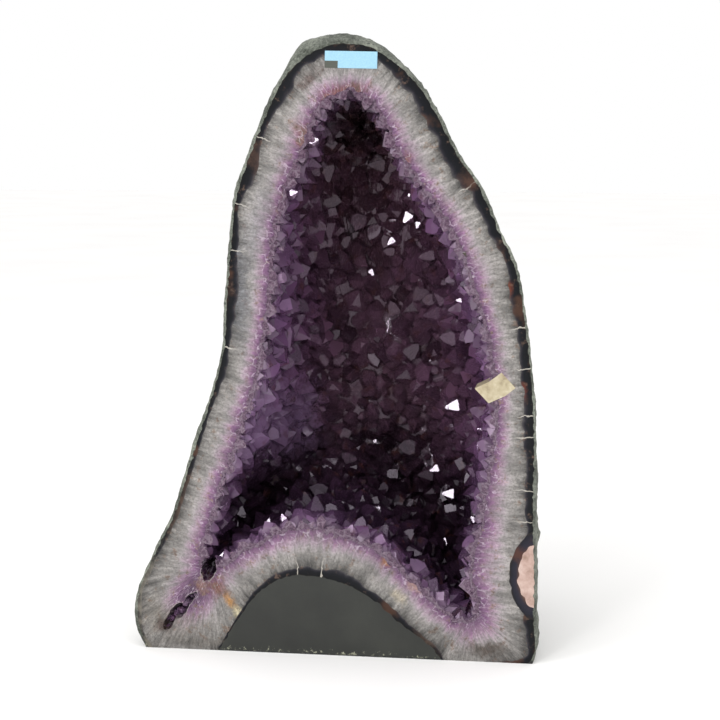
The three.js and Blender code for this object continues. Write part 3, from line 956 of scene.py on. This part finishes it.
def agateMaterial():
    # Near-black polished agate: brown patches, a soft brown edge where it thins into the quartz,
    # and thin pale veins straight across it.
    material, tree, skin, place = newMaterial("black agate, sawn and polished")
    band = addNode(tree, "UVMap", {"uv_map": "band"}).outputs[0]
    share = addNode(tree, "Attribute", {"attribute_name": "share"}).outputs["Fac"]
    cloud = noiseField(tree, place, 120, 4, 0.6)
    zone = maths(tree, "MULTIPLY_ADD", cloud, 0.5, share)
    scaled = maths(tree, "MULTIPLY", zone, 0.66)
    colour = colourRamp(tree, scaled, [
        (0.14, "#24231f"), (0.22, "#0f1013"), (0.56, "#15161b"), (0.70, "#25242a"), (0.86, "#4c494b")])
    patch = noiseField(tree, place, 38, 3)
    brown = mapRange(tree, patch, 0.56, 0.68, 0.0, 0.75, smooth=True)
    browned = mixColours(tree, brown, colour, "#4c352a")
    vein = maths(tree, "MULTIPLY", veinLines(tree, band, agateLoop), 0.7)
    veined = mixColours(tree, vein, browned, "#c3bdb2")
    final = stainAndShadePatches(tree, veined, place, [
        (128, 220, 6, 11, 0, "#6b3424", 0.9), (116, 300, 6, 12, 0, "#663424", 0.9),
        (-172, 40, 30, 60, 0, "#7b766c", 0.95), (-145, 118, 12, 50, -20, "#5d4c40", 0.6),
        (-150, -6, 60, 26, 0, "#807b70", 0.9), (-80, 395, 14, 40, 20, "#4a3830", 0.7),
        (84, 384, 12, 14, 30, "#4d3830", 0.9), (60, 20, 30, 18, -30, "#5a4a40", 0.7)])
    feed(tree, skin, {"Base Color": final, "Roughness": 0.28, "Specular IOR Level": 0.15})
    return material


def basaltMaterial():
    # Weathered basalt: grey-green and porous outside; where it was sawn it is smooth and darker,
    # and along the base it is chipped.
    material, tree, skin, place = newMaterial("basalt, broken outside and sawn in front")
    sawn = addNode(tree, "Attribute", {"attribute_name": "sawn"}).outputs["Fac"]
    grain = noiseField(tree, place, 480, 5, 0.75)
    patch = noiseField(tree, place, 42, 5, 0.6)
    both = addNode(tree, "Mix", {"data_type": "FLOAT"}, {0: 0.5, 2: grain, 3: patch})
    outside = colourRamp(tree, both.outputs[0], [
        (0.38, "#33372f"), (0.45, "#53574f"), (0.51, "#6d7168"), (0.57, "#84887d"), (0.66, "#a0a294")])
    # dark gas holes, in patches
    holes = addNode(tree, "TexVoronoi", inputs={"Vector": place, "Scale": 210, "Randomness": 1})
    holeMask = mapRange(tree, holes.outputs["Distance"], 0.16, 0.30, 0.8, 0.0)
    patchy = mapRange(tree, patch, 0.48, 0.56, 0.0, 1.0)
    holeShare = maths(tree, "MULTIPLY", holeMask, patchy)
    holed = mixColours(tree, holeShare, outside, "#3c413d")
    # the sawn mound
    smear = noiseField(tree, place, 26, 6, 0.55)
    mound = colourRamp(tree, smear, [(0.3, "#1d1f1c"), (0.5, "#242622"), (0.7, "#2c2e29")])
    parts = addNode(tree, "SeparateXYZ", inputs={0: place})
    low = mapRange(tree, parts.outputs[2], 0.001, 0.009, 0.0, 0.24)
    chip = noiseField(tree, place, 330, 4, 0.7)
    chipLess = maths(tree, "SUBTRACT", chip, low)
    chipMask = mapRange(tree, chipLess, 0.53, 0.58, 0.0, 0.85)
    chipped = mixColours(tree, chipMask, mound, "#9b9c86")
    # darker along the lowest 2 mm of the base
    foot = mapRange(tree, parts.outputs[2], 0.0008, 0.0018, 0.85, 0.0)
    footed = mixColours(tree, foot, chipped, "#191b19")
    # on the sawn face: the strip round the sides keeps the rough colour, the mound is dark
    isMound = mapRange(tree, sawn, 1.2, 1.6, 0.0, 1.0)
    final = mixColours(tree, isMound, holed, footed)
    roughness = mapRange(tree, isMound, 0, 1, 0.85, 0.42)
    strength = mapRange(tree, isMound, 0, 1, 0.9, 0.04)
    bump(tree, skin, both.outputs[0], strength, 0.0025)
    feed(tree, skin, {"Base Color": final, "Roughness": roughness})
    return material


def amethystMaterial():
    # Glassy amethyst: clear, with purple in the glass and milky purple under it. Pale at the rim,
    # darker down the hollow and brown-black at the top, both partly painted shade, with near-black
    # painted shade patches low down; each point has a tone of its own.
    material, tree, skin, place = newMaterial("amethyst points, natural faces")
    tone = addNode(tree, "Attribute", {"attribute_name": "tone"}).outputs["Fac"]
    parts = addNode(tree, "SeparateXYZ", inputs={0: place})
    cloud = noiseField(tree, place, 90, 3)
    depth = mapRange(tree, parts.outputs[1], faceY * mm, faceY * mm + 0.15, -0.06, 0.94)
    shaken = maths(tree, "MULTIPLY_ADD", cloud, 0.12, depth)
    # paler at the rim and darker deeper into the hollow: the rim points' own paler colour, with painted shade
    # further in
    body = colourRamp(tree, shaken, [
        (0.0, "#ab94ab"), (0.05, "#947397"), (0.14, "#84608a"), (0.35, "#7d5880"), (0.7, "#6f4d6a"),
        (1.0, "#624755")])
    toned = mapRange(tree, tone, 0, 1, 0.35, 1.75)
    bright = brighten(tree, body, toned)
    # brown towards the top of the hollow, more so deeper in: a brown tint with painted shade
    height = mapRange(tree, parts.outputs[2], 0.24, 0.46, 0.0, 0.85, smooth=True)
    deep = mapRange(tree, depth, 0.0, 0.25, 0.25, 1.0)
    brownAndShadeShare = maths(tree, "MULTIPLY", height, deep)
    browned = mixColours(tree, brownAndShadeShare, bright, "#4a332e")
    # painted shade: near-black patches low in the middle and low on the right of the hollow, at its top, and
    # in the crack at the lower left; the fourth patch makes the left wall paler purple
    shaded = stainAndShadePatches(tree, browned, place, [
        (0, 150, 80, 50, 0, "#1a1118", 0.85), (70, 110, 26, 40, 0, "#221523", 0.75),
        (-8, 428, 46, 44, 0, "#1d1314", 0.9), (-78, 172, 40, 74, 0, "#a886b2", 1.0),
        (-124.5, 68, 16, 11, 76, "#1b1110", 1.0)], 0.6)
    # the floor of the hollow behind its front edge gets little light
    below = mapRange(tree, parts.outputs[2], 0.168, 0.116, 0.0, 1.0)
    behind = mapRange(tree, depth, 0.01, 0.17, 0.0, 0.86)
    floorShade = maths(tree, "MULTIPLY", below, behind)
    shaded = mixColours(tree, floorShade, shaded, "#1a1019")
    rust = mapRange(tree, cloud, 0.60, 0.70, 0.0, 0.45)
    rusty = mixColours(tree, rust, shaded, "#6b4038")
    # where the saw met the points: lavender cells with pale outlines, as on the quartz beside them
    sawn = mapRange(tree, parts.outputs[1], (faceY + 0.4) * mm, (faceY + 0.9) * mm, 1.0, 0.0)
    cells = addNode(tree, "TexVoronoi", {"feature": "DISTANCE_TO_EDGE"}, {"Vector": place, "Scale": 150})
    line = mapRange(tree, cells.outputs["Distance"], 0.0, 0.10, 0.28, 0.0)
    fine = noiseField(tree, place, 420, 4, 0.7)
    face = colourRamp(tree, fine, [(0.32, "#573e55"), (0.5, "#795e73"), (0.68, "#a0899a")])
    lined = mixColours(tree, line, face, "#c9bcc9")
    faced = mixColours(tree, sawn, rusty, lined)
    roughness = mapRange(tree, tone, 0, 1, 0.03, 0.14)
    # faces are never quite flat, so mirror images of the lamps fade across them
    waves = noiseField(tree, place, 130, 2)
    bump(tree, skin, waves, 0.5, 0.0005)
    glass = addNode(tree, "VolumeAbsorption", inputs={"Color": linear("#b995c4"), "Density": 40})
    tree.links.new(glass.outputs[0], tree.nodes["Material Output"].inputs["Volume"])
    feed(tree, skin, {"Base Color": faced, "Roughness": roughness, "Transmission Weight": 0.5,
                      "IOR": 1.544, "Specular Tint": linear("#dcd2e0")})
    return material


def calciteMaterial():
    # Cream calcite: waxy and faintly clouded.
    material, tree, skin, place = newMaterial("calcite, natural and sawn")
    cloud = noiseField(tree, place, 160, 5, 0.6)
    colour = colourRamp(tree, cloud, [
        (0.3, "#8f8168"), (0.45, "#afa285"), (0.6, "#bdb296"), (0.72, "#cdc5ad")])
    bump(tree, skin, cloud, 0.3, 0.001)
    feed(tree, skin, {"Base Color": colour, "Roughness": 0.45})
    return material


def noduleMaterial():
    # Peach-pink lens of fine-grained stone with a ragged edge, matt.
    material, tree, skin, place = newMaterial("pink nodule, sawn")
    cloud = noiseField(tree, place, 110, 5, 0.65)
    colour = colourRamp(tree, cloud, [
        (0.3, "#94796a"), (0.45, "#b3968b"), (0.6, "#c3a89d"), (0.72, "#cfbab1")])
    feed(tree, skin, {"Base Color": colour, "Roughness": 0.6})
    return material


def ringMaterial():
    # The agate round the nodule: dark blue-black bands with a paler one, following its outline.
    material, tree, skin, place = newMaterial("banded agate round the nodule, sawn and polished")
    local = addNode(tree, "Mapping", {"vector_type": "TEXTURE"}, {
        "Vector": place, "Location": ((noduleSize["x"] + shiftX) * mm, faceY * mm, noduleSize["z"] * mm),
        "Scale": ((noduleSize["wide"] + noduleSize["agate"]) * mm, 1.0,
                  (noduleSize["high"] + noduleSize["agate"] * 1.4) * mm)})
    reach = addNode(tree, "VectorMath", {"operation": "LENGTH"}, {0: local.outputs[0]})
    cloud = noiseField(tree, place, 130, 4)
    wavy = maths(tree, "MULTIPLY_ADD", cloud, 0.12, reach.outputs["Value"])
    scaled = maths(tree, "MULTIPLY", wavy, 0.85)
    colour = colourRamp(tree, scaled, [
        (0.56, "#765648"), (0.61, "#463735"), (0.68, "#2a2631"), (0.76, "#22222d"), (0.84, "#1b1a22"),
        (0.9, "#26221f")])
    final = stainAndShadePatches(tree, colour, place, [(127, 90, 9, 13, 20, "#51332a", 0.85)])
    feed(tree, skin, {"Base Color": final, "Roughness": 0.28, "Specular IOR Level": 0.2})
    return material


label = {"x": -7, "z": 477, "width": 41, "height": 13, "turn": -1.4}


def paperMaterial():
    # Pale blue paper with one plain dark block at its lower left.
    material, tree, skin, place = newMaterial("price label paper, printed pale blue")
    local = addNode(tree, "Mapping", {"vector_type": "TEXTURE"}, {
        "Vector": place, "Location": ((label["x"] + shiftX) * mm, 0, label["z"] * mm),
        "Rotation": (0, -math.radians(label["turn"]), 0),
        "Scale": (label["width"] * mm, 1.0, label["height"] * mm)})
    parts = addNode(tree, "SeparateXYZ", inputs={0: local.outputs[0]})
    left = maths(tree, "LESS_THAN", parts.outputs[0], -0.25)
    low = maths(tree, "LESS_THAN", parts.outputs[2], -0.08)
    block = maths(tree, "MULTIPLY", left, low)
    fibres = noiseField(tree, place, 900, 3)
    paper = colourRamp(tree, fibres, [(0.3, "#8dbad0"), (0.7, "#98c4da")])
    colour = mixColours(tree, block, paper, "#474a42")
    feed(tree, skin, {"Base Color": colour, "Roughness": 0.55})
    return material


def prism(name, loop, front, back):
    # a closed prism between two depths behind the face, from an outline in x and z
    loop = np.asarray(loop, float)
    count = len(loop)
    near = np.stack([loop[:, 0], np.full(count, front), loop[:, 1]], axis=1)
    far = near.copy()
    far[:, 1] = back
    i = np.arange(count)
    j = (i + 1) % count
    sides = np.stack([i, j, j + count, i + count], axis=1)
    faces = sides.tolist() + [i[::-1].tolist(), (i + count).tolist()]
    piece = meshFrom(name, toFrame(np.concatenate([near, far])), faces)
    faceOutwards(piece)
    return piece


def oval(width, height, ragged, seed, count=90):
    turn = np.linspace(0, 2 * math.pi, count, endpoint=False)
    ring = np.stack([np.cos(turn), np.sin(turn)], axis=1)
    # a lens rather than an ellipse: pointed at its top and bottom
    ring[:, 0] *= np.abs(np.cos(turn)) ** 0.25
    loop = np.array([noduleSize["x"], noduleSize["z"]]) + ring * np.array([width, height])
    return loop + ring * (ripples(loop, 9, seed) * ragged)[:, None]


def makeNodule():
    ring = prism("noduleRing", oval(noduleSize["wide"] + noduleSize["agate"],
                                    noduleSize["high"] + noduleSize["agate"] * 1.4, 0.5, 41), -0.05, 5)
    stone = prism("pinkNodule", oval(noduleSize["wide"], noduleSize["high"], 1.0, 42), -0.15, 8)
    for piece, edge in ((ring, agateLoop), (stone, agateLoop + outward(agateLoop) * 0.3)):
        combine(piece, prism("inside", edge, -2, 60), "INTERSECT")
    return ring, stone


calciteSize = {
    "outline": [(91, 222), (102, 210.5), (115, 216.5), (123, 223), (112, 235), (102, 227.5)],
    "depth": 24, "farShare": 0.8, "farShift": -3,
}


def makeCalcite():
    # a cleaved block: the outline on the face, with a smaller far end moved sideways
    loop = np.array(calciteSize["outline"], float)
    piece = prism("calcite", loop, -0.3, calciteSize["depth"])
    middle = toFrame([(loop[:, 0].mean(), 0, loop[:, 1].mean())])[0]
    share = calciteSize["farShare"]
    for vertex in piece.data.vertices[len(loop):]:
        vertex.co.x = middle[0] + (vertex.co.x - middle[0]) * share + calciteSize["farShift"] * mm
        vertex.co.z = middle[2] + (vertex.co.z - middle[2]) * share
    return piece


def makeLabel():
    corners = np.array([(-0.5, -0.5), (0.5, -0.5), (0.5, 0.5), (-0.5, 0.5)])
    turned = turnedBy(corners * (label["width"], label["height"]), label["turn"])
    return prism("priceLabel", turned + (label["x"], label["z"]), -0.45, 0.05)


rock = makeBasalt()
print("basalt", len(rock.data.vertices), "vertices")
agate = makeAgate()
print("agate", len(agate.data.vertices), "vertices")
quartzWall = makeQuartz()
print("quartz", len(quartzWall.data.vertices), "vertices")
amethyst = makeAmethyst()
print("amethyst", len(amethyst.data.vertices), "vertices", len(amethyst.data.polygons), "faces")
ring, nodule = makeNodule()
calcite = makeCalcite()
paper = makeLabel()

for piece, node, slot, material in (
        (rock, "basalt_rind", "basalt", basaltMaterial()),
        (agate, "agate_skin", "agate", agateMaterial()),
        (ring, "agate_skin", "agate", ringMaterial()),
        (quartzWall, "quartz_wall", "quartz", quartzMaterial()),
        (amethyst, "amethyst_bed", "amethyst", amethystMaterial()),
        (calcite, "calcite_crystal", "calcite", calciteMaterial()),
        (nodule, "pink_nodule", "pink_nodule", noduleMaterial()),
        (paper, "paper_label", "paper", paperMaterial())):
    piece.data.materials.clear()
    piece.data.materials.append(material)
    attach(piece, "root")
    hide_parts(node)
print("materials made")


def floorMaterial():
    # pale studio floor that fades into the white background
    material, tree, skin, place = newMaterial("studio floor, matt white")
    grain = noiseField(tree, place, 3, 2)
    colour = colourRamp(tree, grain, [
        (0.3, "#f4f3f2"), (0.7, "#f8f7f6")])
    feed(tree, skin, {"Base Color": colour, "Roughness": 0.9, "Specular IOR Level": 0.1})
    return material


floor = meshFrom("floor", np.array([(-9, -9, 0), (9, -9, 0), (9, 9, 0), (-9, 9, 0)], float), [(0, 1, 2, 3)])
floor.data.materials.append(floorMaterial())


def makeWorld():
    # soft white room: bright overhead, dim low down; plain white where the camera looks past the floor
    world = bpy.data.worlds.new("studio")
    bpy.context.scene.world = world
    world.use_nodes = True
    tree = world.node_tree
    room = tree.nodes["Background"]
    direction = addNode(tree, "TexCoord").outputs["Generated"]
    parts = addNode(tree, "SeparateXYZ", inputs={0: direction})
    strength = mapRange(tree, parts.outputs[2], -0.05, 0.85, 0.5, 1.25, smooth=True)
    tree.links.new(strength, room.inputs["Strength"])
    room.inputs["Color"].default_value = (1, 1, 1, 1)
    seen = addNode(tree, "Background", inputs={"Color": (1, 1, 1, 1), "Strength": 1.0})
    path = addNode(tree, "LightPath")
    mix = addNode(tree, "MixShader", inputs={
        0: path.outputs["Is Camera Ray"], 1: room.outputs[0], 2: seen.outputs[0]})
    tree.links.new(mix.outputs[0], tree.nodes["World Output"].inputs[0])


def areaLight(name, place, size, radiance):
    # a rectangle aimed at the geode; its power follows from its size and radiance
    lamp = bpy.data.lights.new(name, "AREA")
    lamp.shape = "RECTANGLE"
    lamp.size, lamp.size_y = size
    lamp.energy = radiance * math.pi * size[0] * size[1]
    holder = bpy.data.objects.new(name, lamp)
    bpy.context.scene.collection.objects.link(holder)
    holder.location = place
    holder.rotation_euler = (viewTarget - Vector(place)).to_track_quat("-Z", "Y").to_euler()


def makeCamera():
    camera = bpy.data.objects.new("camera", bpy.data.cameras.new("camera"))
    bpy.context.scene.collection.objects.link(camera)
    camera.location = cameraPlace
    camera.rotation_mode = "QUATERNION"
    camera.rotation_quaternion = (-backward).to_track_quat("-Z", "Y")
    camera.data.lens = studio["lens"]
    camera.data.sensor_width = 36
    bpy.context.scene.camera = camera


makeWorld()
for k, (place, size, radiance) in enumerate(studio["panels"]):
    areaLight("softBox" + str(k), place, size, radiance)
areaLight("hotLight", studio["hotPlace"], studio["hotSize"], studio["hotRadiance"])
makeCamera()
bpy.context.scene.view_settings.view_transform = "Standard"
print("floor, light and camera made")
